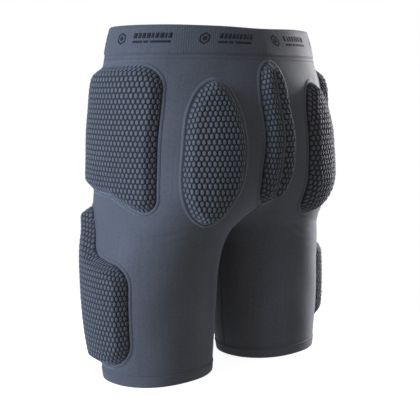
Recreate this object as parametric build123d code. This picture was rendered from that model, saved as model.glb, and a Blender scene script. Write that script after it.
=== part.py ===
from build123d import *
import math
import os

# Padded impact shorts: a close-fitting stretch-knit pair of shorts with seven covered foam pads.
# Millimetres. +Z is up, the wearer faces -Y, and the wearer's left side is +X.

# Garment
HEIGHT = 450.0          # hem edge to waistband edge
WAISTBAND = 34.0        # width of the knitted elastic waistband
HEM = 14.0              # width of the folded leg hem
FABRIC = 1.5            # thickness of the body knit
BAND_OUT, BAND_IN = 0.8, 1.8    # waistband and hem stand out and in from the body's outer face
SEAM_HEIGHT = 0.8       # how far a cover-stitched seam stands up
SEAM_HALF = 2.6         # half its width
WAIST_STITCH, HEM_STITCH = 5.0, 3.0     # cover stitching below the waistband, above each hem
FRAME_Y = -15.85        # puts the middle of the front-to-back extent on the origin

# Pads
HIP_THICK, THIGH_THICK, SEAT_THICK, TAIL_THICK = 13.5, 16.5, 14.0, 12.5
FOAM_BASE = 4.0         # first foam layer
COVER = 1.2             # cover over the face of the foam
COVER_SIDE = 2.2        # cover around the edge of the foam
RIM_WIDTH, RIM_HEIGHT = 4.5, 2.0
EDGE_RADIUS = 4.0
SEAT_ANGLE = 66.0       # direction a seat pad faces, in plan, from the side towards the back
PRISM_START, PRISM_LENGTH = 80.0, 130.0     # where a pad's outline is run from, and how far

# Horizontal sections of the left half. Each is a superellipse about (cx, cy):
# z, cx, cy, outward, inward, front and back semi-axes, exponent
SECTIONS = [
    (0, 97, 2, 75, 74, 54, 65, 2.2),
    (60, 97, 2, 81, 80, 70, 66.5, 2.2),
    (120, 95, 2, 83, 82, 87, 68, 2.2),
    (160, 91, 2, 82.5, 81.5, 96, 73, 2.3),
    (185, 83, 1, 84.5, 82.5, 101, 80, 2.35),
    (210, 71, 0, 94, 93, 106, 97, 2.4),
    (260, 38, 0, 127, 126, 112, 126, 2.3),
    (310, 12, 0, 154.5, 154.5, 111, 132, 2.2),
    (360, 0, 0, 165, 165, 103, 122, 2.2),
    (416, 0, 0, 157, 157, 95, 107, 2.1),
    (450, 0, 0, 148, 148, 92, 98, 2.1),
]
LOFT_FROM, LOFT_TO, LOFT_STEPS = -3.0, 453.0, 24
SECTION_POINTS = 32

# Pad outlines seen square on: (across, up, corner radius). Across runs from front to back.
HIP_OUTLINE = [(-70, 405, 26), (76, 405, 30), (78, 216, 13), (4, 245, 40), (-72, 246, 22)]
THIGH_OUTLINE = [(-80, 220, 12), (-54, 220, 12), (-26, 163, 28), (42, 163, 18), (44, 78, 60),
                 (32, 26, 24), (-43, 22, 22)]
# Seat and tailbone outlines are smooth curves through (across, up)
SEAT_OUTLINE = [(-36, 385), (-16, 377), (-2, 352), (5, 318), (4, 280), (-4, 243), (-20, 213),
                (-46, 203), (-71, 220), (-83, 252), (-80, 298), (-74, 342), (-58, 372)]
TAIL_OUTLINE = [(0, 405), (17, 398), (24, 378), (24, 340), (26, 300), (27, 268), (21, 242),
                (0, 229), (-21, 242), (-27, 268), (-26, 300), (-24, 340), (-24, 378), (-17, 398)]
TAIL_SEAM_HALF, TAIL_SEAM_HEIGHT = 2.2, 1.0


def curve(knots, values):
    """A monotone cubic through the values at the knots, carried on straight beyond the ends."""
    gaps = [b - a for a, b in zip(knots, knots[1:])]
    slopes = [(b - a) / g for a, b, g in zip(values, values[1:], gaps)]
    tangents = [slopes[0]]
    for i in range(1, len(slopes)):
        before, after = slopes[i - 1], slopes[i]
        if before * after <= 0:
            tangents.append(0.0)
        else:
            w1, w2 = 2 * gaps[i] + gaps[i - 1], gaps[i] + 2 * gaps[i - 1]
            tangents.append((w1 + w2) / (w1 / before + w2 / after))
    tangents.append(slopes[-1])

    def at(z):
        if z <= knots[0]:
            return values[0] + tangents[0] * (z - knots[0])
        if z >= knots[-1]:
            return values[-1] + tangents[-1] * (z - knots[-1])
        i = max(k for k in range(len(gaps)) if knots[k] <= z)
        g, t = gaps[i], (z - knots[i]) / gaps[i]
        return ((1 + 2 * t) * (1 - t) ** 2 * values[i] + t * (1 - t) ** 2 * g * tangents[i]
                + t * t * (3 - 2 * t) * values[i + 1] + t * t * (t - 1) * g * tangents[i + 1])
    return at


LEVELS = [row[0] for row in SECTIONS]
CURVES = [curve(LEVELS, [row[k] for row in SECTIONS]) for k in range(1, 8)]


def section(z, offset):
    """The closed section of the left half at height z, moved out by offset."""
    cx, cy, out, inward, front, back, power = [c(z) for c in CURVES]
    points = []
    for k in range(SECTION_POINTS):
        angle = math.pi + 2 * math.pi * k / SECTION_POINTS
        c, s = math.cos(angle), math.sin(angle)
        a = (out if c >= 0 else inward) + offset
        b = (back if s >= 0 else front) + offset
        r = (abs(c / a) ** power + abs(s / b) ** power) ** (-1 / power)
        points.append((cx + r * c, cy + FRAME_Y + r * s, z))
    even = [k / SECTION_POINTS for k in range(SECTION_POINTS + 1)]
    return Wire([Edge.make_spline(points, periodic=True, parameters=even)])


FORMS = {}


def form(offset):
    """The solid inside the left half's surface moved out by offset."""
    if offset not in FORMS:
        step = (LOFT_TO - LOFT_FROM) / LOFT_STEPS
        levels = [LOFT_FROM + step * k for k in range(LOFT_STEPS + 1)]
        FORMS[offset] = Solid.make_loft([section(z, offset) for z in levels])
    return FORMS[offset]


def block(x0, x1, y0, y1, z0, z1):
    return Pos((x0 + x1) / 2, (y0 + y1) / 2, (z0 + z1) / 2) * Box(x1 - x0, y1 - y0, z1 - z0)


def slab(z0, z1):
    return block(-300, 300, -300, 300, z0, z1)


def skin(outer, inner, region):
    """The layer between two offsets of the left half, inside a region."""
    return (form(outer) & region) - form(inner)


def mirrored(shape):
    return mirror(shape, about=Plane.YZ)


def as_solid(shape):
    solids = sorted(shape.solids(), key=lambda s: -s.volume)
    return solids[0] if len(solids) == 1 else Compound(solids)


NODES = {}


def add(name, shape):
    NODES[name] = as_solid(shape)


def add_pair(name, shape):
    add("left_" + name, shape)
    add("right_" + name, mirrored(shape))


# Body panels: one per side, cut on the centre line
body = skin(0, -FABRIC, block(0, 300, -300, 300, HEM, HEIGHT - WAISTBAND))
add_pair("body_panel", body)

# Waistband and its cover stitching
top = HEIGHT - WAISTBAND
add("waistband", skin(BAND_OUT, -BAND_IN, slab(top, HEIGHT)))
add("waistband_seam", skin(SEAM_HEIGHT, 0, slab(top - WAIST_STITCH, top)))

# Leg hems and their cover stitching
add_pair("leg_hem", skin(BAND_OUT, -BAND_IN, slab(0, HEM)))
add_pair("hem_seam", skin(SEAM_HEIGHT, 0, slab(HEM, HEM + HEM_STITCH)))

# Centre seams, front and back, and the inner leg seams
CROTCH = 188.0
centre = {
    "centre_back_seam": block(0, SEAM_HALF, FRAME_Y, 300, CROTCH, top - WAIST_STITCH),
    "centre_front_seam": block(0, SEAM_HALF, -300, FRAME_Y, CROTCH, top - WAIST_STITCH),
}
for name, region in centre.items():
    half = skin(SEAM_HEIGHT, 0, region)
    add(name, half + mirrored(half))
inner_leg = block(0, 97, FRAME_Y + 2 - SEAM_HALF, FRAME_Y + 2 + SEAM_HALF,
                  HEM + HEM_STITCH, 180)
add_pair("inseam", skin(SEAM_HEIGHT, 0, inner_leg))


def rounded_face(corners, inset):
    """A face bounded by straight sides and arcs, moved in by inset. Corners run clockwise."""
    count = len(corners)
    arcs = []
    for i, (across, up, radius) in enumerate(corners):
        back, ahead = corners[i - 1], corners[(i + 1) % count]
        to_back = Vector(back[0] - across, back[1] - up).normalized()
        to_ahead = Vector(ahead[0] - across, ahead[1] - up).normalized()
        half = math.radians(to_back.get_angle(to_ahead)) / 2
        middle = (to_back + to_ahead).normalized()
        hollow = to_back.X * to_ahead.Y - to_back.Y * to_ahead.X < 0
        turn = -1 if hollow else 1
        corner = Vector(across, up) + middle * (turn * inset / math.sin(half))
        radius -= turn * inset
        reach = radius / math.tan(half)
        centre = corner + middle * (radius / math.sin(half))
        arcs.append((corner + to_back * reach, centre - middle * radius, corner + to_ahead * reach))
    edges = []
    for i, (start, midpoint, end) in enumerate(arcs):
        edges.append(Edge.make_three_point_arc(start, midpoint, end))
        edges.append(Edge.make_line(end, arcs[(i + 1) % count][0]))
    return make_face(edges)


def smooth_face(points, inset):
    """A face bounded by one smooth closed curve, moved in by inset."""
    count = len(points)
    moved = []
    for i, (across, up) in enumerate(points):
        ahead, behind = points[(i + 1) % count], points[i - 1]
        dx, dy = ahead[0] - behind[0], ahead[1] - behind[1]
        length = math.hypot(dx, dy)
        moved.append((across + inset * dy / length, up - inset * dx / length))
    return make_face(Edge.make_spline(moved, periodic=True))


def prism(face, angle):
    """A face drawn square on to a pad, run outwards along the direction the pad faces."""
    a = math.radians(angle)
    facing = Vector(math.cos(a), math.sin(a), 0)
    origin = Vector(0, FRAME_Y, 0) + facing * PRISM_START
    plane = Plane(origin=origin, x_dir=(-math.sin(a), math.cos(a), 0), z_dir=facing)
    return extrude(plane * face, PRISM_LENGTH, dir=facing)


def pad(outline, maker, angle, thick, region=None, seam=None):
    """Foam base, foam top, cover and rim of one pad."""
    outer = prism(maker(outline, 0), angle)
    inner = prism(maker(outline, COVER_SIDE), angle)
    around = prism(maker(outline, -RIM_WIDTH), angle)
    if region is not None:
        outer, inner, around = outer & region, inner & region, around & region
    base = (form(FOAM_BASE) & inner) - form(0)
    top_foam = (form(thick - COVER) & inner) - form(FOAM_BASE)
    facing = Vector(math.cos(math.radians(angle)), math.sin(math.radians(angle)), 0)
    shell = as_solid(form(thick) & outer)
    face = max(shell.faces(), key=lambda f: f.center().dot(facing))
    shell = fillet([e for e in face.edges() if e.center().X > 0.5], EDGE_RADIUS)
    cover = shell - (form(thick - COVER) & inner) - form(0)
    rim = (form(RIM_HEIGHT) & around) - outer - form(0)
    if seam is not None:
        groove = form(SEAM_HEIGHT) & seam
        base, cover, rim = base - groove, cover - groove, rim - groove
    return base, top_foam, cover, rim


PADS = {
    "hip": (HIP_OUTLINE, rounded_face, 0, HIP_THICK),
    "thigh": (THIGH_OUTLINE, rounded_face, 0, THIGH_THICK),
    "seat": (SEAT_OUTLINE, smooth_face, SEAT_ANGLE, SEAT_THICK),
}
for name, (outline, maker, angle, thick) in PADS.items():
    base, top_foam, cover, rim = pad(outline, maker, angle, thick)
    add_pair(name + "_foam_base", base)
    add_pair(name + "_foam_top", top_foam)
    add_pair(name + "_cover", cover)
    add_pair(name + "_rim", rim)

# Tailbone pad: on the centre line, its cover made of two halves joined under a raised seam
half_space = block(0, 300, -300, 300, 0, HEIGHT)
base, top_foam, cover, rim = pad(TAIL_OUTLINE, smooth_face, 90, TAIL_THICK, half_space,
                                 centre["centre_back_seam"])
add("tailbone_foam_base", base + mirrored(base))
add("tailbone_foam_top", top_foam + mirrored(top_foam))
add("tailbone_rim", rim + mirrored(rim))
ridge_zone = block(0, TAIL_SEAM_HALF, -300, 300, 0, HEIGHT)
add("tailbone_cover_left", cover)
add("tailbone_cover_right", mirrored(cover))
ridge = (form(TAIL_THICK + TAIL_SEAM_HEIGHT) & prism(smooth_face(TAIL_OUTLINE, 0), 90)
         & ridge_zone) - form(TAIL_THICK)
add("tailbone_cover_seam", ridge + mirrored(ridge))

os.makedirs("parts", exist_ok=True)
for name, shape in NODES.items():
    print(name, len(shape.solids()), round(shape.volume), shape.is_valid, flush=True)
    export_step(shape, "parts/" + name + ".step")
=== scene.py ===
import math

import bmesh
import bpy
import numpy as np
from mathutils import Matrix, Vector


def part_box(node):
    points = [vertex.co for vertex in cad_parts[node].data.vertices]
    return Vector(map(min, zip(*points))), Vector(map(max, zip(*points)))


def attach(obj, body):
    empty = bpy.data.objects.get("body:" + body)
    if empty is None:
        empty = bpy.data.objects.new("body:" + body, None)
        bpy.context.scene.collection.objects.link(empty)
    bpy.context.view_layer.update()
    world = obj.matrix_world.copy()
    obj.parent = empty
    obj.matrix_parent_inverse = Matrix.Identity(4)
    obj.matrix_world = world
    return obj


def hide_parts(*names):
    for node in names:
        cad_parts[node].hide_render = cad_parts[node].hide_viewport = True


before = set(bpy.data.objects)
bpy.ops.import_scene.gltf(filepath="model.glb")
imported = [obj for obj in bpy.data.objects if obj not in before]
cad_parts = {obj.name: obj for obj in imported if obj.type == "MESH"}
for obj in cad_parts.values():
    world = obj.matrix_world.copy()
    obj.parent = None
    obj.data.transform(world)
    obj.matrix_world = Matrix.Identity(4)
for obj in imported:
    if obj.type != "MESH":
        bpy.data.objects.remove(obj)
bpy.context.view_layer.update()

MM = 0.001

# ------------ the body's form, in millimetres
# Horizontal sections of the left half, each a superellipse about (cx, cy):
# z, cx, cy, outward, inward, front and back semi-axes, exponent
SECTIONS = np.array([
    (0, 97, 2, 75, 74, 54, 65, 2.2),
    (60, 97, 2, 81, 80, 70, 66.5, 2.2),
    (120, 95, 2, 83, 82, 87, 68, 2.2),
    (160, 91, 2, 82.5, 81.5, 96, 73, 2.3),
    (185, 83, 1, 84.5, 82.5, 101, 80, 2.35),
    (210, 71, 0, 94, 93, 106, 97, 2.4),
    (260, 38, 0, 127, 126, 112, 126, 2.3),
    (310, 12, 0, 154.5, 154.5, 111, 132, 2.2),
    (360, 0, 0, 165, 165, 103, 122, 2.2),
    (416, 0, 0, 157, 157, 95, 107, 2.1),
    (450, 0, 0, 148, 148, 92, 98, 2.1),
])
BAND_LOW, BAND_HIGH = (corner[2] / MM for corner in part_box("waistband"))
HEM_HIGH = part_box("left_leg_hem")[1][2] / MM
BAND_OUT = 0.8          # the CAD waistband stands this far off the form
WAIST_FRONT = SECTIONS[-2, 5]
FRAME_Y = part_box("waistband")[0][1] / MM + WAIST_FRONT + BAND_OUT     # where the form's y = 0 lies
CROTCH = 186.0
BRIDGE = 22.0           # half-width of the cloth that spans the cleft
BRIDGE_FROM, BRIDGE_FULL = 192, 240     # heights between which the span comes in


def monotone(knots, values):
    """A monotone cubic through the values, as a function of an array."""
    gap, step = np.diff(knots), np.diff(values)
    slope = step / gap
    tangent = np.zeros(len(knots))
    tangent[0], tangent[-1] = slope[0], slope[-1]
    for i in range(1, len(slope)):
        before, after = slope[i - 1], slope[i]
        if before * after > 0:
            w1, w2 = 2 * gap[i] + gap[i - 1], gap[i] + 2 * gap[i - 1]
            tangent[i] = (w1 + w2) / (w1 / before + w2 / after)

    def at(z):
        z = np.asarray(z, float)
        i = np.clip(np.searchsorted(knots, z, side="right") - 1, 0, len(gap) - 1)
        g = gap[i]
        t = (z - knots[i]) / g
        inside = ((1 + 2 * t) * (1 - t) ** 2 * values[i] + t * (1 - t) ** 2 * g * tangent[i]
                  + t * t * (3 - 2 * t) * values[i + 1] + t * t * (t - 1) * g * tangent[i + 1])
        low = values[0] + tangent[0] * (z - knots[0])
        high = values[-1] + tangent[-1] * (z - knots[-1])
        return np.where(z < knots[0], low, np.where(z > knots[-1], high, inside))
    return at


CURVES = [monotone(SECTIONS[:, 0], SECTIONS[:, k]) for k in range(1, 8)]


def smoothstep(low, high, x):
    t = np.clip((np.asarray(x, float) - low) / (high - low), 0, 1)
    return t * t * (3 - 2 * t)


def depth_at(x, z, back):
    """How far the form reaches from its own centre line to the back, or to the front, at x."""
    cx, _, out, inward, front, rear, power = [c(z) for c in CURVES]
    reach = np.clip(np.abs(x - cx) / np.where(x < cx, inward, out), 0, 1)
    return np.where(back, rear, front) * (1 - reach ** power) ** (1 / power)


def swell(p):
    """The small unevenness of a worn-in knit stretched over a form, in millimetres."""
    x, y, z = np.abs(p[..., 0]), p[..., 1], p[..., 2]
    slow = (np.sin(x * 0.031 + z * 0.043 + 1.1) * np.sin(y * 0.037 - z * 0.029 + 0.4)
            + 0.6 * np.sin(x * 0.071 - y * 0.053 + z * 0.061))
    return 0.35 * slow


def form_point(phi, z):
    """Points of the left half's outer face at the angle phi round its centre and the height z."""
    phi, z = np.broadcast_arrays(np.asarray(phi, float), np.asarray(z, float))
    cx, cy, out, inward, front, rear, power = [c(z) for c in CURVES]
    c, s = np.cos(phi), np.sin(phi)
    a = np.where(c >= 0, out, inward)
    b = np.where(s >= 0, rear, front)
    r = (np.abs(c / a) ** power + np.abs(s / b) ** power) ** (-1 / power)
    x, y = cx + r * c, cy + r * s
    # near the centre line the cloth spans the cleft in a flat curve
    back = s >= 0
    edge = depth_at(BRIDGE, z, back)
    slope = depth_at(BRIDGE + 0.5, z, back) - depth_at(BRIDGE - 0.5, z, back)
    flat = edge - slope * (BRIDGE ** 2 - x ** 2) / (2 * BRIDGE)
    share = np.where(np.abs(x) < BRIDGE, smoothstep(BRIDGE_FROM, BRIDGE_FULL, z), 0) * (np.abs(s) > 0.2)
    y = y + np.where(back, 1, -1) * share * (flat - np.abs(y - cy))
    return np.stack([x, y + FRAME_Y, z], -1)


def surface(phi, z, lift=0.0):
    """Points lifted square off the form, and their outward normals."""
    step_phi, step_z = 0.004, 0.4
    p = form_point(phi, z)
    across = form_point(phi + step_phi, z) - form_point(phi - step_phi, z)
    up = form_point(phi, z + step_z) - form_point(phi, z - step_z)
    n = np.cross(across, up)
    n /= np.linalg.norm(n, axis=-1, keepdims=True) + 1e-12
    return p + n * (np.asarray(lift, float) + swell(p))[..., None], n


# ------------ flat charts of the form
TABLE_STEP = 1.5
TABLE_Z = np.arange(-6.0, 462.0, TABLE_STEP)
TABLE_PHI = np.radians(np.arange(-180.0, 180.01, 0.5))
TABLE_POINTS = form_point(TABLE_PHI[None, :], TABLE_Z[:, None])
STEPS_ROUND = np.linalg.norm(np.diff(TABLE_POINTS, axis=1), axis=-1)
TABLE_ARC = np.concatenate([np.zeros((len(TABLE_Z), 1)), np.cumsum(STEPS_ROUND, axis=1)], axis=1)
TABLE_ARC -= TABLE_ARC[:, [len(TABLE_PHI) // 2]]
ARC_GRID = np.arange(-420.0, 420.5, 1.0)
ARC_TO_PHI = np.array([np.interp(ARC_GRID, arc, TABLE_PHI) for arc in TABLE_ARC])
SEEN_ANGLE = 85         # how far round from its middle a chart reaches, in degrees


def nearest_row(z):
    """The table's row nearest to a height."""
    row = np.round((np.asarray(z, float) - TABLE_Z[0]) / TABLE_STEP).astype(int)
    return np.clip(row, 0, len(TABLE_Z) - 1)


def phi_of(arc, z):
    """The angle at a distance round the form from its side line."""
    i = np.clip((np.asarray(z, float) - TABLE_Z[0]) / TABLE_STEP, 0, len(TABLE_Z) - 1.001)
    j = np.clip(np.asarray(arc, float) - ARC_GRID[0], 0, len(ARC_GRID) - 1.001)
    i0, j0 = i.astype(int), j.astype(int)
    fi, fj = i - i0, j - j0
    t = ARC_TO_PHI
    return ((t[i0, j0] * (1 - fj) + t[i0, j0 + 1] * fj) * (1 - fi)
            + (t[i0 + 1, j0] * (1 - fj) + t[i0 + 1, j0 + 1] * fj) * fi)


class Chart:
    """Flat coordinates (across, up) on the left half, laid out from a line seen square on.

    The line is where the form is `line` millimetres across when it is looked at along
    `angle` degrees, in plan, from the side towards the back. Across grows towards the back.
    """

    def __init__(self, angle, line):
        a = math.radians(angle)
        self.along = np.array([-math.sin(a), math.cos(a)])
        near = np.abs(np.degrees(TABLE_PHI) - angle) < SEEN_ANGLE
        self.rows = []
        for row, arc in zip(TABLE_POINTS, TABLE_ARC):
            seen = near & (row[:, 0] > -2)
            across = row[seen, 0] * self.along[0] + (row[seen, 1] - FRAME_Y) * self.along[1]
            order = np.argsort(across)
            self.rows.append((across[order], arc[seen][order]))
        self.zero = self.arc_of(np.full(len(TABLE_Z), float(line)), TABLE_Z)

    def arc_of(self, across, z):
        return np.array([np.interp(a, *self.rows[k]) for a, k in zip(across, nearest_row(z))])

    def flatten(self, outline):
        """An outline seen square on, as (across, up) laid flat."""
        outline = np.asarray(outline, float)
        arc = self.arc_of(outline[:, 0], outline[:, 1])
        zero = np.interp(outline[:, 1], TABLE_Z, self.zero)
        return np.stack([arc - zero, outline[:, 1]], -1)

    def place(self, flat, lift=0.0):
        arc = flat[..., 0] + np.interp(flat[..., 1], TABLE_Z, self.zero)
        return surface(phi_of(arc, flat[..., 1]), flat[..., 1], lift)


# ------------ outlines of the pads
# Corners seen square on: (across, up, radius), clockwise
HIP_OUTLINE = [(-70, 400, 58), (72, 403, 34), (72, 214, 20), (2, 241, 40), (-72, 245, 22)]
THIGH_OUTLINE = [(-80, 220, 12), (-54, 220, 12), (-28, 163, 28), (38, 153, 26), (40, 26, 34),
                 (-43, 22, 22)]
# Smooth curves through (across, up), clockwise
SEAT_OUTLINE = [(-36, 382), (-19, 374), (-6, 350), (1, 318), (1, 281), (-6, 246), (-21, 218),
                (-44, 208), (-66, 223), (-77, 254), (-75, 298), (-69, 341), (-55, 370)]
# The left half of the tailbone pad, from the top down
TAIL_HALF = [(-14, 397), (-21, 378), (-23, 340), (-25, 300), (-26, 268), (-20, 243)]
TAIL_TOP, TAIL_LOW, TAIL_SEAM_HALF = 405.0, 229.0, 1.6
TAIL_RIDGE_HALF, TAIL_RIDGE_LIFT = 2.3, 0.5


def rounded(corners):
    """Points along straight sides and corner arcs."""
    count, points = len(corners), []
    for i, (across, up, radius) in enumerate(corners):
        here = np.array([across, up], float)
        back = np.array(corners[i - 1][:2]) - here
        ahead = np.array(corners[(i + 1) % count][:2]) - here
        back, ahead = back / np.linalg.norm(back), ahead / np.linalg.norm(ahead)
        half = math.acos(np.clip(back @ ahead, -1, 1)) / 2
        middle = (back + ahead) / np.linalg.norm(back + ahead)
        centre = here + middle * radius / math.sin(half)
        start = here + back * radius / math.tan(half) - centre
        end = here + ahead * radius / math.tan(half) - centre
        a0, a1 = math.atan2(start[1], start[0]), math.atan2(end[1], end[0])
        turn = (a1 - a0 + math.pi) % (2 * math.pi) - math.pi
        for t in np.linspace(0, 1, 13):
            a = a0 + turn * t
            points.append(centre + radius * np.array([math.cos(a), math.sin(a)]))
    return np.array(points)


def smooth(points, closed=True):
    """Points along a Catmull-Rom curve through the given ones."""
    p = np.array(points, float)
    count, out = len(p), []
    spans = count if closed else count - 1
    for i in range(spans):
        a, b, c, d = (p[k % count] if closed else p[min(max(k, 0), count - 1)]
                      for k in range(i - 1, i + 3))
        for t in np.arange(0, 1, 0.1):
            out.append(0.5 * (2 * b + (c - a) * t + (2 * a - 5 * b + 4 * c - d) * t * t
                              + (3 * b - a - 3 * c + d) * t ** 3))
    return np.array(out if closed else out + [p[-1]])


OUTLINE_STEP = 2.0


def run_of(path):
    """The distance along a path at each of its points."""
    return np.concatenate([[0], np.cumsum(np.linalg.norm(np.diff(path, axis=0), axis=1))])


def along_path(path, run, at):
    """The places on a path at the given distances along it."""
    return np.stack([np.interp(at, run, column) for column in path.T], -1)


def resample(outline):
    """Even points round a closed outline."""
    closed = np.vstack([outline, outline[:1]])
    run = run_of(closed)
    count = max(8, int(round(run[-1] / OUTLINE_STEP)))
    return along_path(closed, run, np.linspace(0, run[-1], count, endpoint=False))


def resample_open(path):
    """Even points along an open path."""
    run = run_of(path)
    return along_path(path, run, np.linspace(0, run[-1], max(8, int(run[-1] / OUTLINE_STEP))))


def outward(outline):
    """Outward unit normals of a closed, clockwise outline."""
    ahead = np.roll(outline, -1, 0) - np.roll(outline, 1, 0)
    ahead /= np.linalg.norm(ahead, axis=1, keepdims=True)
    return np.stack([-ahead[:, 1], ahead[:, 0]], -1)


AT_ONCE = 4000          # points measured in one go, to spare memory


def inset(points, outline):
    """How far each point is inside an outline (negative outside), and the nearest point on it."""
    a, b = outline, np.roll(outline, -1, 0)
    d = b - a
    flat = points.reshape(-1, 2)
    distance, nearest = np.empty(len(flat)), np.empty((len(flat), 2))
    for start in range(0, len(flat), AT_ONCE):
        part = slice(start, start + AT_ONCE)
        q = flat[part, None, :]
        t = np.clip(((q - a) * d).sum(-1) / (d * d).sum(-1), 0, 1)
        on = a + d * t[..., None]
        gap = np.linalg.norm(q - on, axis=-1)
        best = gap.argmin(1)
        rows = np.arange(len(best))
        spans = (a[:, 1] > q[..., 1]) != (b[:, 1] > q[..., 1])
        crossing = a[:, 0] + (q[..., 1] - a[:, 1]) * d[:, 0] / np.where(d[:, 1] == 0, 1e-9, d[:, 1])
        odd = (spans & (q[..., 0] < crossing)).sum(1) % 2 == 1
        distance[part] = gap[rows, best] * np.where(odd, 1, -1)
        nearest[part] = on[rows, best]
    return distance.reshape(points.shape[:-1]), nearest.reshape(points.shape)


# ------------ mesh helpers
WELD = 0.004            # points closer than this become one


def make_object(name, points, faces, material, cloth=None, painted_shading=None):
    """A mesh object from points in millimetres. cloth gives each point's flat place on the knit, and the last
    argument gives each point's painted shading, low where shade is painted.
    """
    me = bpy.data.meshes.new(name)
    me.from_pydata((np.asarray(points) * MM).tolist(), [], faces)
    me.validate()
    if cloth is not None:
        flat = np.zeros((len(points), 3))
        flat[:, :cloth.shape[-1]] = np.asarray(cloth) * MM
        me.attributes.new("cloth", "FLOAT_VECTOR", "POINT").data.foreach_set("vector", flat.ravel())
    # each point's painted shading, read by the pad cover's material
    if painted_shading is not None:
        me.attributes.new("painted_shading", "FLOAT", "POINT").data.foreach_set("value", np.asarray(painted_shading, float))
    solid = bmesh.new()
    solid.from_mesh(me)
    bmesh.ops.remove_doubles(solid, verts=solid.verts, dist=WELD * MM)
    if all(edge.is_manifold for edge in solid.edges):
        bmesh.ops.recalc_face_normals(solid, faces=solid.faces)
        if solid.calc_volume(signed=True) < 0:
            bmesh.ops.reverse_faces(solid, faces=solid.faces)
    solid.to_mesh(me)
    solid.free()
    for poly in me.polygons:
        poly.use_smooth = True
    me.materials.append(material)
    me.update()
    ob = bpy.data.objects.new(name, me)
    bpy.context.scene.collection.objects.link(ob)
    return ob


def grid_faces(rows, columns, closed_columns=False, closed_rows=False, start=0):
    """Quads of a grid of points stored row by row."""
    faces = []
    for i in range(rows if closed_rows else rows - 1):
        for j in range(columns if closed_columns else columns - 1):
            a, b = i % rows, (i + 1) % rows
            c, d = j % columns, (j + 1) % columns
            faces.append((start + a * columns + c, start + a * columns + d,
                          start + b * columns + d, start + b * columns + c))
    return faces


def mirrored(points):
    return np.asarray(points) * np.array([-1, 1, 1])


def flipped(faces):
    return [tuple(reversed(f)) for f in faces]


def finish_piece(ob, slot, *nodes):
    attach(ob, "root")
    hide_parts(*nodes)
    return ob


def sides(points, faces):
    return ("left", points, faces), ("right", mirrored(points), flipped(faces))


def both_sides(name, points, faces, material, slot, nodes, cloth=None, painted_shading=None):
    """The left piece and its mirror image; nodes are given without their side."""
    made = []
    for side, pts, fcs in sides(points, faces):
        ob = make_object(f"{side}_{name}", pts, fcs, material, cloth, painted_shading)
        made.append(finish_piece(ob, slot, *(f"{side}_{node}" for node in nodes)))
    return made


# ------------ materials
# How strongly each part counts in the knit's relief, and how far a stitch's legs lean
WALE_RELIEF, COURSE_RELIEF, RIB_RELIEF, LEAN = 0.7, 0.4, 1.3, 1.6
# Noises in the knit, as (scale, detail), and how strongly the last four count in its shade
FUZZ, HEATHER, MOTTLE, SLOW, STREAK = (2600, 2), (1500, 4), (330, 3), (16, 3), (1, 2)
SHADE_WEIGHTS = (0.4, 0.5, 0.3, 0.25)
SHADE_RANGE, ROUGH_RANGE = (0.52, 0.94), (0.64, 0.82)
STREAK_SCALE = (420, 9, 1)
SHEEN_TINT = (0.75, 0.85, 1.0)


class Finish:
    """A material being made, with short calls for the nodes that the cloths share."""

    def __init__(self, name):
        self.material = bpy.data.materials.new(name)
        self.material.use_nodes = True
        self.tree = self.material.node_tree
        self.shader = self.tree.nodes["Principled BSDF"]

    def feed(self, node, inputs):
        """Sets a node's inputs to values, or joins them to other nodes' outputs."""
        for key, value in inputs.items():
            socket = node.inputs[key]
            if isinstance(value, bpy.types.NodeSocket):
                self.tree.links.new(value, socket)
            else:
                socket.default_value = (*value, 1) if socket.type == "RGBA" else value

    def node(self, kind, inputs, **settings):
        node = self.tree.nodes.new(f"ShaderNode{kind}")
        for key, value in settings.items():
            setattr(node, key, value)
        self.feed(node, inputs)
        return node

    def attribute(self, name, output):
        return self.node("Attribute", {}, attribute_name=name).outputs[output]

    def maths(self, operation, *operands):
        return self.node("Math", dict(enumerate(operands)), operation=operation).outputs[0]

    def total(self, *weighted):
        """The sum of values, each given with its weight."""
        result = 0.0
        for value, weight in weighted:
            result = self.maths("MULTIPLY_ADD", value, weight, result)
        return result

    def wave(self, place, pitch, lean=0.0):
        """A sine along a place, once per pitch in millimetres."""
        return self.maths("SINE", self.maths("MULTIPLY_ADD", place, 2 * math.pi / (pitch * MM), lean))

    def noise(self, vector, scale, detail):
        return self.node("TexNoise", {"Vector": vector, "Scale": scale, "Detail": detail}).outputs["Fac"]

    def mix(self, factor, low, high):
        inputs = {"Factor": factor, "A": low, "B": high}
        return self.node("Mix", inputs, data_type="RGBA").outputs["Result"]

    def bump(self, relief, strength, distance):
        inputs = {"Height": relief, "Strength": strength, "Distance": distance * MM}
        self.feed(self.shader, {"Normal": self.node("Bump", inputs).outputs["Normal"]})


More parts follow.
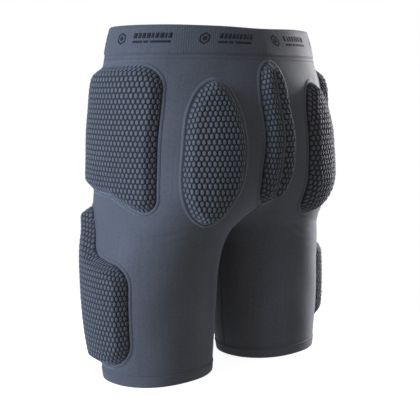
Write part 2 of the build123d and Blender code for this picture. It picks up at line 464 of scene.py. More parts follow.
def knit(name, dark, light, wale=1.1, course=0.8, depth=0.25, sheen=0.35, rib=None, painted_shade_colour=None):
    """A fine knit: wales and courses in relief, heathered yarn and slow shade variation.

    The last argument, if given, is a painted shade colour. The knit takes it where a point's painted shading
    value is 0, so the pad covers' grooves, a pad's foot and the cover's inside are darkened as if in shade.
    """
    f = Finish(name)
    place = f.attribute("cloth", "Vector")
    split = f.node("SeparateXYZ", {"Vector": place})
    across, up = split.outputs[0], split.outputs[1]
    # each wale is a column of stitches, each stitch a chevron
    wales = f.wave(across, wale)
    courses = f.wave(up, course, f.maths("MULTIPLY", f.maths("ABSOLUTE", wales), LEAN))
    relief = [(wales, WALE_RELIEF), (courses, COURSE_RELIEF)]
    if rib:
        relief.append((f.wave(across, rib), RIB_RELIEF))
    relief.append((f.noise(place, *FUZZ), 1.0))
    heather = f.noise(place, *HEATHER)
    streaks = f.node("Mapping", {"Vector": place, "Scale": STREAK_SCALE}).outputs["Vector"]
    shades = (heather, f.noise(place, *MOTTLE), f.noise(place, *SLOW), f.noise(streaks, *STREAK))
    shade = f.total(*zip(shades, SHADE_WEIGHTS))
    low, high = SHADE_RANGE
    ramp = f.node("MapRange", {"Value": shade, "From Min": low, "From Max": high})
    colour = f.mix(ramp.outputs["Result"], dark, light)
    # painted shade and highlight: mixes from the painted shade colour at a value of 0 to the knit's own
    # colour at 1
    if painted_shade_colour is not None:
        colour = f.mix(f.attribute("painted_shading", "Fac"), painted_shade_colour, colour)
    smoothest, roughest = ROUGH_RANGE
    rough = f.node("MapRange", {"Value": heather, "To Min": smoothest, "To Max": roughest})
    f.feed(f.shader, {"Base Color": colour, "Roughness": rough.outputs["Result"], "Sheen Weight": sheen,
                      "Sheen Roughness": 0.45, "Sheen Tint": SHEEN_TINT, "Specular IOR Level": 0.25})
    f.bump(f.total(*relief), depth, 0.25)
    return f.material


def plain_soft(name, colour, rough, scale, depth):
    """Thread, foam or print: one colour broken by a fine grain."""
    f = Finish(name)
    grain = f.noise(f.node("TexCoord", {}).outputs["Object"], scale, 3)
    dark = tuple(c * 0.7 for c in colour)
    f.feed(f.shader, {"Base Color": f.mix(grain, dark, colour), "Roughness": rough,
                      "Specular IOR Level": 0.15, "Sheen Weight": 0.08})
    f.bump(grain, depth, 0.2)
    return f.material


BODY = knit("body_knit", (0.052, 0.053, 0.058), (0.088, 0.090, 0.098))
BAND = knit("waistband_knit", (0.050, 0.052, 0.056), (0.086, 0.089, 0.097), wale=1.3, depth=0.3, rib=2.6)
# The pad covers carry painted shading: a nearly black painted shade in the grooves between the cells and at
# each pad's foot, and the full, lighter colour only on the cells' tops as a painted highlight
COVER = knit("pad_cover", (0.065, 0.066, 0.071), (0.116, 0.118, 0.126), wale=0.8, course=0.6, depth=0.12,
             painted_shade_colour=(0.007, 0.0075, 0.009))
RIM = knit("pad_rim", (0.052, 0.053, 0.058), (0.090, 0.093, 0.101), wale=0.9, depth=0.15, sheen=0.4)
THREAD = plain_soft("thread", (0.080, 0.082, 0.090), 0.6, 900, 0.3)
PRINT = plain_soft("print", (0.020, 0.021, 0.025), 0.85, 500, 0.1)
FOAM = plain_soft("foam", (0.10, 0.10, 0.11), 0.9, 700, 0.5)

# ------------ body panels
CLOTH_THICK = 1.3
PANEL_COLUMNS = 220
CROTCH_RISE = 34        # height above the crotch over which the rows of points are drawn together


def centre_angle(z, back):
    """The angle at which the left half meets the centre plane, at the back or the front."""
    cx, _, _, inward, front, rear, power = [c(z) for c in CURVES]
    reach = np.clip(cx / inward, 0, 1)
    depth = np.where(back, rear, front) * (1 - reach ** power) ** (1 / power)
    return np.arctan2(np.where(back, depth, -depth), -cx)


# Shallow creases in the cloth of one side: angle (degrees) and height of the middle, half length
# round and up the form, width and depth, all but the angle in millimetres
CREASES = {
    "left": [(62, 196, 46, 6, 5.0, 0.75), (58, 187, 38, 5, 4.5, 0.55), (66, 178, 30, 3, 4.5, 0.4),
             (84, 168, 26, 7, 4.5, 0.45), (33, 205, 16, -9, 4.0, 0.5), (28, 226, 12, -7, 3.5, 0.4)],
    "right": [(72, 190, 52, 3, 4.6, 0.55), (66, 180, 46, 0, 4.4, 0.5), (78, 171, 38, -3, 4.6, 0.45),
              (60, 162, 30, -4, 4.5, 0.45), (90, 182, 24, 9, 4.2, 0.6), (48, 196, 18, 5, 4.0, 0.5)],
}


def creased(points, normals, arc, height, side):
    """Cloth drawn into shallow folds: a groove with a soft ridge on each side of it."""
    lift = np.zeros(arc.shape)
    for degrees, z, half, rise, width, depth in CREASES[side]:
        middle = np.interp(math.radians(degrees), TABLE_PHI, TABLE_ARC[nearest_row(z)])
        along = (arc - middle) / half
        off = (height - z - rise * along - 2.2 * np.sin(along * 2.6 + z)) / width
        lift -= depth * (0.9 * np.cos(off * 1.5) - 0.35) * np.exp(-0.5 * off ** 2 - 1.3 * along ** 2)
    return points + normals * lift[..., None]


def body_panels():
    below = np.linspace(HEM_HIGH - 1.5, CROTCH, 76, endpoint=False)
    near = CROTCH + CROTCH_RISE * np.linspace(0, 1, 34, endpoint=False) ** 1.7
    above = np.linspace(CROTCH + CROTCH_RISE, BAND_LOW + 2, 78)
    z = np.concatenate([below, near, above])
    start, end = centre_angle(z, True), centre_angle(z, False)
    start = np.where(z <= CROTCH, math.pi, start)
    end = np.where(z <= CROTCH, -math.pi, end)
    u = np.linspace(0, 1, PANEL_COLUMNS + 1)
    phi = start[:, None] + (end - start)[:, None] * u
    zz = np.repeat(z[:, None], len(u), 1)
    points, normals = surface(phi, zz)
    for edge in (0, -1):
        points[:, edge, 0] = np.where(z > CROTCH, 0, points[:, edge, 0])
    arc = np.array([np.interp(p, TABLE_PHI, TABLE_ARC[row]) for p, row in zip(phi, nearest_row(z))])
    flat = np.stack([arc, zz], -1).reshape(-1, 2)
    faces = flipped(grid_faces(len(z), len(u)))
    for side in ("left", "right"):
        cloth = creased(points, normals, arc, zz, side).reshape(-1, 3)
        if side == "right":
            cloth, faces = mirrored(cloth), flipped(faces)
        ob = make_object(f"{side}_body", cloth, faces, BODY, flat)
        finish_piece(ob, "body_knit", f"{side}_body_panel")
        thick = ob.modifiers.new("thickness", "SOLIDIFY")
        thick.thickness, thick.offset = CLOTH_THICK * MM, -1


body_panels()

# ------------ pads
CELL_ACROSS, CELL_UP = 5.8, 8.4      # width and height of one raised hexagon
THIGH_CELL, TAIL_CELL = 4.7, 4.8     # some pads' cells are drawn in a little
CELL_HEIGHT = 1.25
CELL_INSIDE = 1.3       # how far inside the outline a cell's centre has to lie
# (across, lift) round the rim's section, from its inner edge outwards
RIM_PROFILE = [(-2.4, 0.9), (-1.2, 0.45), (-0.2, 0.35), (0.5, 0.7), (1.2, 1.05), (2.0, 1.1),
               (2.8, 0.8), (3.6, 0.35), (4.4, 0.02), (4.2, -0.45), (-2.4, -0.4)]
# Rings of a raised cell, from its border to near its middle: (share of the width, share of the height)
RINGS = [(1.0, 0.0), (0.85, 0.07), (0.75, 0.6), (0.6, 0.92), (0.34, 1.0)]
# Painted shading of the inner rings, from dark painted shade near the groove to the painted highlight on top
RING_PAINTED_SHADING = [0.08, 0.45, 0.9, 1.0]
CELL_DRAWN_IN, CELL_DRAWN_UP = 0.15, 0.08    # how much narrower and taller a cell's top is than even
CORNERS = 12            # points round a cell's border, every second one a real corner
PLACES_PER_MM = 50      # border points that agree to this are one point
FOOT = 0.5              # height of a pad's side at its foot
SHOULDER, SHOULDER_SOFT = 1.13, 0.035   # how early and how softly the side turns into the top
CROWN_RUN = 42          # distance from the outline over which the crown rises
FADE = (0.2, 3.5)       # distances along the side over which the cells rise from nothing
COVER_THICK = 1.3
SEAM_FLOOR, SEAM_DROP, SEAM_WIDTH = 0.4, 3.2, 5.5    # the valley on each side of the tailbone seam
PAST_SEAM = 40.0        # how far the seam's edge is moved out of the way while a side is opened out
FOAM_MARGIN, FOAM_BELOW, FOAM_THIN = 1.0, 1.6, 0.3     # inside the edge, under the face, and least height
FOAM_LAYERS = ((0.0, 0.38, "base"), (0.39, 1.0, "top"))    # shares of the pad's height


def honeycomb(outline, shift, wide):
    """Centres (n, 2), borders (n, 12, 2) and border numbers of the hexagons inside an outline.

    Neighbours share their borders, and the outermost borders lie on the outline.
    """
    pitch_up = CELL_UP * 0.75
    low, high = outline.min(0) - CELL_UP, outline.max(0) + CELL_UP
    start = low + shift
    centres = np.array([(start[0] + (k + r % 2 / 2) * wide, start[1] + r * pitch_up)
                        for r in range(int((high[1] - low[1]) / pitch_up) + 2)
                        for k in range(int((high[0] - low[0]) / wide) + 2)])
    centres = centres[inset(centres, outline)[0] > CELL_INSIDE]
    corner = np.radians(90 - 60 * np.arange(6))
    hexagon = np.stack([np.cos(corner) * wide / math.sqrt(3), np.sin(corner) * CELL_UP / 2], -1)
    border = np.empty((CORNERS, 2))
    border[0::2], border[1::2] = hexagon, (hexagon + np.roll(hexagon, -1, 0)) / 2
    borders = centres[:, None, :] + border
    rounded_off = np.round(borders.reshape(-1, 2) * PLACES_PER_MM).astype(int)
    _, index, counts = np.unique(rounded_off, axis=0, return_inverse=True, return_counts=True)
    index = index.reshape(len(centres), CORNERS)
    full = np.where(np.arange(CORNERS) % 2 == 0, 3, 2)
    depth, nearest = inset(borders, outline)
    move = (counts[index] < full) | (depth < 0)
    borders = np.where(move[..., None], nearest, borders)
    return centres, borders, index


def walls(cells, offset):
    """Quads between the outer edges of a sheet of cells and its copy, `offset` points further on."""
    edges = {(a, b): None for cell in cells.tolist() for a, b in zip(cell, cell[1:] + cell[:1])}
    return [(a, b, offset + b, offset + a) for a, b in edges if (b, a) not in edges]


class Side:
    """A pad's sloping side and its gently domed top, followed along the surface from the foot."""

    def __init__(self, reach, thick, crown):
        self.crown = crown
        self.inward = np.linspace(0, reach, 90)
        t = SHOULDER * self.inward / reach
        blend = (1 + t - np.sqrt((1 - t) ** 2 + SHOULDER_SOFT)) / 2
        blend = (blend - blend[0]) / (blend[-1] - blend[0])
        self.height = FOOT + (thick - crown - FOOT) * blend
        self.along = run_of(np.stack([self.inward, self.height], -1))
        self.extra = self.along[-1] - reach

    def at(self, along):
        """Distance inside the outline and height, for a distance along the side."""
        on_side = np.interp(along, self.along, self.inward)
        inward = np.where(along < self.along[-1], on_side, along - self.extra)
        height = np.interp(along, self.along, self.height)
        return inward, height + self.crown * smoothstep(0, CROWN_RUN, inward)


class Pad:
    """One pad of the left half, or the left half of the tailbone pad (with `seam` its inner edge)."""

    def __init__(self, chart, outline, side, shift, wide=CELL_ACROSS, seam=None):
        self.chart, self.side, self.seam = chart, side, seam
        self.outline = resample(chart.flatten(outline))
        spread = self.outline
        if seam is not None:
            spread = spread + np.where(spread[:, :1] > seam - 0.5, [[PAST_SEAM, 0.0]], 0.0)
        # the outline of the cover laid out flat, its sides opened out
        self.opened = resample(spread + outward(spread) * side.extra)
        cut = self.opened
        if seam is not None:
            cut = resample(np.stack([np.minimum(cut[:, 0], seam), cut[:, 1]], -1))
        self.centres, self.borders, self.index = honeycomb(cut, shift, wide)

    def fold(self, flat):
        """Where opened-out places come to lie: flat place, height, and distance from the foot."""
        along, nearest = inset(flat, self.opened)
        along = np.maximum(along, 0)
        inward, height = self.side.at(along)
        if self.seam is not None:
            near = np.exp(-((flat[..., 0] - self.seam) / SEAM_WIDTH) ** 2)
            height = height - np.minimum(height - SEAM_FLOOR, SEAM_DROP) * near
        pull = flat - nearest
        length = np.linalg.norm(pull, axis=-1, keepdims=True)
        rows = nearest.reshape(-1, 2)
        normal = -outward(self.opened)[((rows[:, None] - self.opened[None]) ** 2).sum(-1).argmin(1)]
        pull = np.where(length > 0.3, pull / np.maximum(length, 1e-9), normal.reshape(flat.shape))
        return nearest + pull * (self.side.extra + inward)[..., None], height, along

    def cells(self):
        """The raised cells laid flat: rings of points from each border inwards, (n, rings, 12, 2)."""
        spoke = self.borders - self.centres[:, None]
        length = np.linalg.norm(spoke, axis=-1, keepdims=True)
        even = np.minimum(length, length.mean(1, keepdims=True))
        rings = [self.borders]
        for r, _ in RINGS[1:]:
            rounding = np.clip((1 - r) * 2.2, 0, 0.8)
            share = min(1.0, (1 - r) / 0.3)
            drawn = np.array([1 - CELL_DRAWN_IN * share, 1 + CELL_DRAWN_UP * share])
            rings.append(self.centres[:, None] + spoke / np.maximum(length, 1e-6)
                         * (length * (1 - rounding) + even * rounding) * r * drawn)
        return np.stack(rings, 1)

    def shared(self, values):
        """Values at the cells' borders, once for each point that neighbours share."""
        result = np.zeros((self.index.max() + 1, values.shape[-1]))
        result[self.index.ravel()] = values.reshape(-1, values.shape[-1])
        return result

    def cover_mesh(self):
        """The cover: raised cells outside, a smooth inside, and each point's flat place and painted shading.
        """
        count, rings = len(self.centres), len(RINGS) - 1
        flat = self.cells()
        place, base, along = self.fold(flat)
        fade = smoothstep(*FADE, along)
        rise = np.array([h for _, h in RINGS])[None, :, None]
        points = self.chart.place(place, base + CELL_HEIGHT * rise * fade)[0]
        place, base, along = self.fold(self.centres)
        middle_fade = smoothstep(*FADE, along)
        middles = self.chart.place(place, base + CELL_HEIGHT * 1.03 * middle_fade)[0]
        border_flat = self.shared(flat[:, 0])
        place, base, _ = self.fold(border_flat)
        inside = self.chart.place(place, np.maximum(base - COVER_THICK, 0.1))[0]
        # points run: borders, inner rings, middles, then the inside of the cover
        borders = len(border_flat)
        ring_ids = borders + np.arange(count * rings * CORNERS).reshape(count, rings, CORNERS)
        middle_ids = borders + count * rings * CORNERS + np.arange(count)
        offset = middle_ids[-1] + 1
        ids = np.concatenate([self.index[:, None], ring_ids], 1).tolist()
        faces = []
        for cell, middle in zip(ids, middle_ids.tolist()):
            for k in range(CORNERS):
                m = (k + 1) % CORNERS
                faces += [(outer[k], inner[k], inner[m], outer[m]) for outer, inner in zip(cell, cell[1:])]
                faces.append((cell[-1][k], middle, cell[-1][m]))
        faces += [tuple(row) for row in (self.index + offset).tolist()]
        faces += walls(self.index, int(offset))
        # painted shading: 0 (painted shade) on the shared borders in the grooves and on the cover's inside,
        # rising ring by ring to a painted highlight in each cell's middle, and dimmed towards a pad's foot
        # where the cells have not risen
        painted_shading = np.array(RING_PAINTED_SHADING)[None, :, None] * (0.25 + 0.75 * fade[:, 1:])
        painted_shading = np.concatenate([np.zeros(borders), painted_shading.ravel(), 0.25 + 0.75 * middle_fade, np.zeros(borders)])
        cloth = np.concatenate([border_flat, flat[:, 1:].reshape(-1, 2), self.centres, border_flat])
        points = np.concatenate([self.shared(points[:, 0]), points[:, 1:].reshape(-1, 3), middles, inside])
        return points, faces, cloth, painted_shading

    def foam_mesh(self, low, high):
        """A closed layer between two shares of the pad's thickness."""
        keep = inset(self.centres, self.opened)[0] > FOAM_MARGIN + 0.7 * CELL_UP
        used, cells = np.unique(self.index[keep], return_inverse=True)
        cells = cells.reshape(-1, CORNERS)
        flat = self.shared(self.borders)[used]
        place, height, _ = self.fold(flat)
        tall = np.maximum(height - FOAM_BELOW, FOAM_THIN)
        bottom = self.chart.place(place, tall * low + 0.15)[0]
        top = self.chart.place(place, tall * high)[0]
        faces = [tuple(cell[::-1]) for cell in cells.tolist()]
        faces += [tuple(cell) for cell in (cells + len(flat)).tolist()]
        faces += walls(cells, len(flat))
        return np.concatenate([bottom, top]), flipped(faces), np.concatenate([flat, flat])

    def rim_mesh(self):
        """A pressed ridge round the outline with a valley on its inner side."""
        out = outward(self.outline)
        rows = [self.chart.place(self.outline + out * across, lift)[0] for across, lift in RIM_PROFILE]
        flats = [self.outline + out * across for across, _ in RIM_PROFILE]
        faces = grid_faces(len(RIM_PROFILE), len(self.outline), closed_columns=True, closed_rows=True)
        return np.concatenate(rows), faces, np.concatenate(flats)


def build_pad(name, pad):
    """A pad's pieces on both sides of the shorts."""
    points, faces, cloth, painted_shading = pad.cover_mesh()
    covers = both_sides(f"{name}_cover_shell", points, faces, COVER, "pad_cover", [f"{name}_cover"],
                        cloth, painted_shading)
    for low, high, layer in FOAM_LAYERS:
        points, faces, cloth = pad.foam_mesh(low, high)
        node = f"{name}_foam_{layer}"
        for ob in both_sides(f"{node}_pad", points, faces, FOAM, "foam", [node], cloth):
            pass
    points, faces, cloth = pad.rim_mesh()
    both_sides(f"{name}_rim_edge", points, faces, RIM, "rim", [f"{name}_rim"], cloth)


# A pad: chart, outline, side, where its cells start, and how wide they are
SIDE_CHART, SEAT_CHART = Chart(0, 0), Chart(66, -38)
build_pad("hip", Pad(SIDE_CHART, rounded(HIP_OUTLINE), Side(12.5, 12.2, 1.0), (1.0, 2.0)))
build_pad("thigh", Pad(SIDE_CHART, rounded(THIGH_OUTLINE), Side(13.0, 15.2, 1.0), (0.0, 1.0), THIGH_CELL))
build_pad("seat", Pad(SEAT_CHART, smooth(SEAT_OUTLINE), Side(13.0, 12.6, 2.5), (2.0, 0.0)))


# ------------ strips, seams and stitches
BACK, FRONT = Chart(90, 0), Chart(-90, 0)
STITCH_SIDES, STITCH_SINK = 6, 1.4      # a stitch's ends go this many radii into the cloth
# Along a stitch: share of its length, share of its thickness
STITCH_PROFILE = ((-0.5, 0.25), (-0.36, 0.85), (0, 1.0), (0.36, 0.85), (0.5, 0.25))
SEAM_STITCH = (2.6, 2.1, 0.24)          # pitch, length and radius
SEAM_LIFT = 0.62
RIDGE = [(-1, -0.5), (-0.75, 0.35), (-0.35, 0.7), (0, 0.75), (0.35, 0.7), (0.75, 0.35), (1, -0.5), (0, -0.6)]


def joined(*parts):
    """Several (points, faces) as one."""
    points, faces, start = [], [], 0
    for pts, fcs in parts:
        points.append(pts)
        faces += [tuple(int(i) + start for i in f) for f in fcs]
        start += len(pts)
    return np.concatenate(points), faces


def doubled(points, faces):
    """A shape and its mirror image as one."""
    return joined((points, faces), (mirrored(points), flipped(faces)))


def strip_faces(rows, columns):
    """The faces of a strip with a closed profile, with its two ends."""
    first = tuple(k * columns for k in range(rows))
    ends = [first[::-1], tuple(i + columns - 1 for i in first)]
    return grid_faces(rows, columns, closed_rows=True) + ends


def centre_strip(chart, z, half, base):
    """A ridge down the centre line, with `base` its lift at each height."""
    rows = []
    for share, rise in RIDGE:
        flat = np.stack([np.full(len(z), abs(share) * half), z], -1)
        flat[:, 0] *= -1 if chart is BACK else 1
        points = chart.place(flat, base + rise)[0]
        if share < 0:
            points = mirrored(points)
        if share == 0:
            points[:, 0] = 0
        rows.append(points)
    return np.concatenate(rows), strip_faces(len(RIDGE), len(z))


def stitches(points, normals, pitch, length, radius, closed=False):
    """Small thread stitches laid along a line of points."""
    if closed:
        points, normals = np.vstack([points, points[:1]]), np.vstack([normals, normals[:1]])
    run = run_of(points)
    count = max(2, int(run[-1] / pitch))
    at = (np.arange(count) + 0.5) * run[-1] / count
    centre, normal = along_path(points, run, at), along_path(normals, run, at)
    direction = (along_path(points, run, np.minimum(at + 0.4, run[-1]))
                 - along_path(points, run, np.maximum(at - 0.4, 0)))
    direction /= np.linalg.norm(direction, axis=1, keepdims=True)
    side = np.cross(direction, normal)
    placed = []
    for share, thick in STITCH_PROFILE:
        sink = -STITCH_SINK * radius * (abs(share) * 2) ** 3
        for a in 2 * math.pi * np.arange(STITCH_SIDES) / STITCH_SIDES:
            placed.append(centre + direction * share * length + normal * (math.sin(a) * radius * thick + sink)
                          + side * math.cos(a) * radius * thick)
    size = len(placed)
    one = grid_faces(len(STITCH_PROFILE), STITCH_SIDES, closed_columns=True)
    one += [tuple(range(STITCH_SIDES))[::-1], tuple(range(size - STITCH_SIDES, size))]
    faces = [tuple(v + i * size for v in face) for i in range(count) for face in one]
    return np.stack(placed, 1).reshape(-1, 3), faces


def tail_outline(inner):
    """Half of the tailbone outline, clockwise, closed by a line `inner` from the centre."""
    side = smooth([(-4, TAIL_TOP), *TAIL_HALF, (-4, TAIL_LOW)], closed=False)
    return np.array([(inner, TAIL_TOP), *side.tolist(), (inner, TAIL_LOW)])[::-1]


def tailbone():
    pad = Pad(BACK, tail_outline(-TAIL_SEAM_HALF), Side(9.5, 10.8, 1.2), (0.4, 0.0), TAIL_CELL,
              seam=-TAIL_SEAM_HALF)
    points, faces, cloth, painted_shading = pad.cover_mesh()
    for side, pts, fcs in sides(points, faces):
        ob = make_object(f"tailbone_{side}_shell", pts, fcs, COVER, cloth, painted_shading)
        finish_piece(ob, "pad_cover", f"tailbone_cover_{side}")
    for low, high, layer in FOAM_LAYERS:
        pts, fcs, cloth = pad.foam_mesh(low, high)
        pts, fcs = doubled(pts, fcs)
        ob = make_object(f"tailbone_foam_{layer}_pad", pts, fcs, FOAM, np.concatenate([cloth, cloth]))
        finish_piece(ob, "foam", f"tailbone_foam_{layer}")
    # rim, the left half and its mirror image
    half = resample_open(BACK.flatten(tail_outline(0.0)[::-1]))
    ahead = np.gradient(half, axis=0)
    ahead /= np.linalg.norm(ahead, axis=1, keepdims=True)
    out = np.stack([ahead[:, 1], -ahead[:, 0]], -1)
    out[0], out[-1] = (0, 1), (0, -1)
    rows = [BACK.place(half + out * across, lift)[0] for across, lift in RIM_PROFILE]
    for row in rows:
        row[[0, -1], 0] = 0
    pts, fcs = doubled(np.concatenate(rows), grid_faces(len(rows), len(half), closed_rows=True))
    ob = make_object("tailbone_rim_edge", pts, fcs, RIM, pts[:, [0, 2]])
    finish_piece(ob, "rim", "tailbone_rim")
    # raised seam between the two halves of the cover, which dips and rises with the valley there
    z = np.linspace(TAIL_LOW - 2, TAIL_TOP + 2, 140)
    base = pad.fold(np.stack([np.full(len(z), -0.1), z], -1))[1] + TAIL_RIDGE_LIFT
    pts, fcs = centre_strip(BACK, z, TAIL_RIDGE_HALF, base)
    ob = make_object("tailbone_seam_ridge", pts, fcs, RIM, pts[:, [0, 2]])
    finish_piece(ob, "rim", "tailbone_cover_seam")


def centre_seams():
    z = np.concatenate([CROTCH + 2 + 30 * np.linspace(0, 1, 30) ** 1.6,
                        np.arange(CROTCH + CROTCH_RISE, BAND_LOW, 2.0)])
    for name, chart, towards_left in (("back", BACK, -1), ("front", FRONT, 1)):
        flat = np.stack([np.full(len(z), 1.15 * towards_left), z], -1)
        pts, normals = chart.place(flat, SEAM_LIFT)
        pts, fcs = joined(centre_strip(chart, z, 2.0, np.zeros(len(z))),
                          stitches(mirrored(pts), mirrored(normals), *SEAM_STITCH),
                          stitches(pts, normals, *SEAM_STITCH))
        finish_piece(make_object(f"{name}_flat_seam", pts, fcs, THREAD), "thread", f"centre_{name}_seam")


def inseams():
    z = np.arange(HEM_HIGH + 1, CROTCH - 3, 2.0)
    half = 0.022        # half-width of the seam, as an angle round the leg
    rows = [surface(math.pi + share * half, z, rise)[0] for share, rise in RIDGE]
    lines = [surface(math.pi + share * half, z, SEAM_LIFT) for share in (-0.5, 0.5)]
    pts, fcs = joined((np.concatenate(rows), strip_faces(len(RIDGE), len(z))),
                      *(stitches(*line, *SEAM_STITCH) for line in lines))
    both_sides("inner_leg_seam", pts, fcs, THREAD, "thread", ["inseam"])


# ------------ waistband and hems
BAND_FACE = 1.35
BAND_RADIUS = 125       # turns angles round the waistband and hems into places on the knit
AROUND_WAIST = np.linspace(0, 2 * math.pi, 420, endpoint=False)
AROUND_LEG = np.linspace(0, 2 * math.pi, 220, endpoint=False)
COVER_STITCH = (2.9, 2.4)               # pitch and length


def band(profile, phi, top_dip=0.0):
    """A closed profile of (lift, z) carried round the form, its top edge dipping at the back.

    Returns points, faces and flat places.
    """
    rows, flats = [], []
    for lift, z in profile:
        share = smoothstep(BAND_LOW, BAND_HIGH, z) if top_dip else 0
        dip = top_dip * np.exp(-((phi - math.pi / 2) / 0.55) ** 2)
        rows.append(surface(phi, z + share * (0.35 * np.sin(3 * phi + 0.6) - dip), lift)[0])
        flats.append(np.stack([phi * BAND_RADIUS, np.full(len(phi), z)], -1))
    faces = grid_faces(len(profile), len(phi), closed_columns=True, closed_rows=True)
    return np.concatenate(rows), faces, np.concatenate(flats)


def stitched_round(phi, lines, radius):
    """Cover stitching round the form, along lines given as (height, lift)."""
    return joined(*(stitches(*surface(phi, z, lift), *COVER_STITCH, radius, closed=True)
                    for z, lift in lines))


def waistband():
    low, high = BAND_LOW, BAND_HIGH
    profile = [(-1.2, low - 0.5), (0.1, low - 0.9), (0.9, low - 0.2), (1.2, low + 1.4)]
    profile += [(BAND_FACE, z) for z in np.linspace(low + 4, high - 4.5, 10)]
    profile += [(1.2, high - 2.0), (0.8, high - 0.6), (0.0, high), (-0.8, high - 0.5), (-1.2, high - 2.0)]
    profile += [(-1.3, z) for z in np.linspace(high - 5, low + 2, 8)]
    points, faces, flat = band(profile, AROUND_WAIST, top_dip=1.6)
    ob = make_object("waistband_elastic", points, flipped(faces), BAND, flat)
    finish_piece(ob, "waistband", "waistband")


def waist_stitches():
    pts, fcs = stitched_round(AROUND_WAIST, ((BAND_LOW - 2.0, 0.16), (BAND_LOW - 6.4, 0.16)), 0.36)
    finish_piece(make_object("waist_cover_stitch", pts, fcs, THREAD), "thread", "waistband_seam")


def hems():
    high = HEM_HIGH
    profile = [(-1.9, high - 1), (-1.9, 2.0), (-1.6, 0.6), (-0.8, 0.05), (0.0, 0.2), (0.7, 1.1), (0.9, 2.6)]
    profile += [(0.9, z) for z in np.linspace(5, high - 3, 4)]
    profile += [(0.75, high - 1.2), (0.35, high - 0.2), (-0.2, high + 0.2), (-1.2, high + 0.1)]
    points, faces, flat = band(profile, AROUND_LEG)
    hem = both_sides("folded_hem", points, faces, BODY, "body_knit", ["leg_hem"], flat)
    pts, fcs = stitched_round(AROUND_LEG, ((high + 1.6, 0.16), (high - 1.9, 1.0)), 0.30)
    both_sides("hem_cover_stitch", pts, fcs, THREAD, "thread", ["hem_seam"])


# A plain printed mark, repeated round the waistband: a hexagon, a row of blocks and thin bars
MARK_PITCH, MARK_FIRST, MARKS = 106.3, 299.6, 7
HEXAGONS = ((7.5, 5.2), (3.1, 0.05))    # outer and inner radius of each
BLOCKS = (5.4, 3.8, 4.6, 4.6, 3.2, 4.6, 5.0, 2.6, 4.6)
BLOCK_START, BLOCK_GAP, BLOCK_HIGH = 18.0, 1.25, 6.4
BARS = ((18.0, 13.0), (33.0, 6.0), (41.0, 25.0))       # start and length
BAR_FROM, BAR_TO = -5.6, -2.8


def flat_marks(middle):
    """The marks as strips (2, n, 2) of lower and upper edge, measured from the centre back."""
    strips = []

    def bar(start, length, low, high, columns):
        across = np.linspace(start, start - length, columns)
        strips.append(np.stack([np.stack([across, np.full(columns, middle + z)], -1) for z in (low, high)]))

    angles = np.radians(np.arange(0, 361, 15))
    edge = math.cos(math.radians(30)) / np.cos(np.mod(angles, math.radians(60)) - math.radians(30))
    hexagon = np.stack([-np.sin(angles), np.cos(angles)], -1) * edge[:, None]
    # places are measured round the wearer's left side, so each mark runs down from its start
    for start in MARK_FIRST - MARK_PITCH * np.arange(MARKS):
        for outer, inner in HEXAGONS:
            strips.append(np.stack([hexagon * radius + (start, middle) for radius in (inner, outer)]))
        left = start - BLOCK_START
        for width in BLOCKS:
            bar(left, width, 0, BLOCK_HIGH, 3)
            left -= width + BLOCK_GAP
        for begin, length in BARS:
            bar(start - begin, length, BAR_FROM, BAR_TO, 12)
    return strips


def waist_marks():
    middle = (BAND_LOW + BAND_HIGH) / 2 + 0.5
    to_back, to_front = np.interp((math.pi / 2, -math.pi / 2), TABLE_PHI, TABLE_ARC[nearest_row(middle)])
    around = 2 * (to_back - to_front)
    points, faces, total = [], [], 0
    for strip in flat_marks(middle):
        arc = to_back - np.mod(strip[..., 0], around)
        right = arc < to_front
        arc, z = np.where(right, 2 * to_front - arc, arc), strip[..., 1]
        where = surface(phi_of(arc, z), z, BAND_FACE + 0.06)[0]
        points.append(np.where(right[..., None], mirrored(where), where).reshape(-1, 3))
        faces += grid_faces(2, strip.shape[1], start=total)
        total += 2 * strip.shape[1]
    ob = make_object("waistband_print", np.concatenate(points), faces, PRINT)
    thick = ob.modifiers.new("ink", "SOLIDIFY")
    thick.thickness, thick.offset = 0.12 * MM, 0
    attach(ob, "root")


tailbone()
centre_seams()
inseams()
waistband()
waist_stitches()
hems()
waist_marks()

# ------------ floor, lights and camera
FLOOR_RADIUS, FLOOR_Z, FLOOR_POINTS = 0.42, -0.0006, 96
LIGHT_TARGET = (0, 0, 0.22)
CAMERA_TARGET = (0.0, (2.0 + FRAME_Y) * MM, 0.2079)


def stage_floor():
    f = Finish("pale_floor")
    f.feed(f.shader, {"Base Color": (0.5, 0.5, 0.5), "Roughness": 0.9, "Specular IOR Level": 0.0,
                      "Emission Color": (1, 1, 1), "Emission Strength": 0.9})
    ring = [(FLOOR_RADIUS * math.cos(a), FLOOR_RADIUS * math.sin(a), FLOOR_Z)
            for a in np.linspace(0, 2 * math.pi, FLOOR_POINTS, endpoint=False)]
    me = bpy.data.meshes.new("floor")
    me.from_pydata(ring, [], [tuple(range(FLOOR_POINTS))])
    me.materials.append(f.material)
    floor = bpy.data.objects.new("floor", me)
    floor.visible_diffuse = floor.visible_glossy = False
    bpy.context.scene.collection.objects.link(floor)


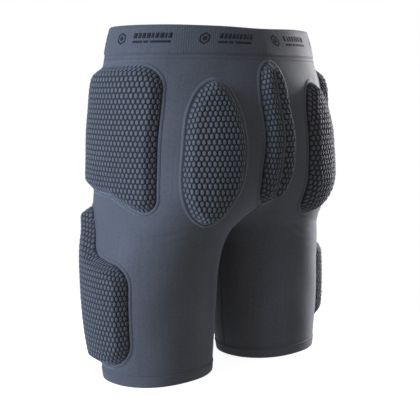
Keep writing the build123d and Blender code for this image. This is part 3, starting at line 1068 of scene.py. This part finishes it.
def turned(azimuth, elevation, distance, target):
    """A place seen along the given azimuth and elevation, as the camera views are measured."""
    a, e = math.radians(azimuth), math.radians(elevation)
    return [target[0] + distance * math.sin(a) * math.cos(e),
            target[1] - distance * math.cos(a) * math.cos(e), target[2] + distance * math.sin(e)]


def aim(ob, target):
    ob.rotation_euler = (Vector(target) - ob.location).to_track_quat("-Z", "Y").to_euler()


def light(name, azimuth, elevation, distance, size, power, colour):
    data = bpy.data.lights.new(name, "AREA")
    data.shape, data.size, data.energy, data.color = "DISK", size, power, colour
    ob = bpy.data.objects.new(name, data)
    bpy.context.scene.collection.objects.link(ob)
    ob.location = turned(azimuth, elevation, distance, LIGHT_TARGET)
    aim(ob, LIGHT_TARGET)


def stage_camera():
    data = bpy.data.cameras.new("camera")
    data.sensor_width, data.lens = 36.0, 75.9686
    data.shift_x = -0.0061905
    data.clip_end = 200
    cam = bpy.data.objects.new("camera", data)
    bpy.context.scene.collection.objects.link(cam)
    cam.location = turned(139.68, 7.85, 1.2198, CAMERA_TARGET)
    aim(cam, CAMERA_TARGET)
    bpy.context.scene.camera = cam


def stage_world():
    world = bpy.data.worlds.new("studio")
    bpy.context.scene.world = world
    world.use_nodes = True
    nodes, links = world.node_tree.nodes, world.node_tree.links
    back = nodes["Background"]
    back.inputs["Color"].default_value = (0.97, 0.96, 1.0, 1)
    back.inputs["Strength"].default_value = 0.37
    seen = nodes.new("ShaderNodeBackground")
    seen.inputs["Color"].default_value = (1, 1, 1, 1)
    path, mix = nodes.new("ShaderNodeLightPath"), nodes.new("ShaderNodeMixShader")
    links.new(path.outputs["Is Camera Ray"], mix.inputs["Fac"])
    links.new(back.outputs[0], mix.inputs[1])
    links.new(seen.outputs[0], mix.inputs[2])
    links.new(mix.outputs[0], nodes["World Output"].inputs["Surface"])


stage_floor()
stage_world()
light("key", 86, 10, 2.2, 1.1, 67, (0.70, 0.88, 1.18))
light("rim", 275, 6, 2.2, 0.8, 86, (1.0, 0.96, 0.96))
stage_camera()
bpy.context.scene.view_settings.view_transform = "Standard"
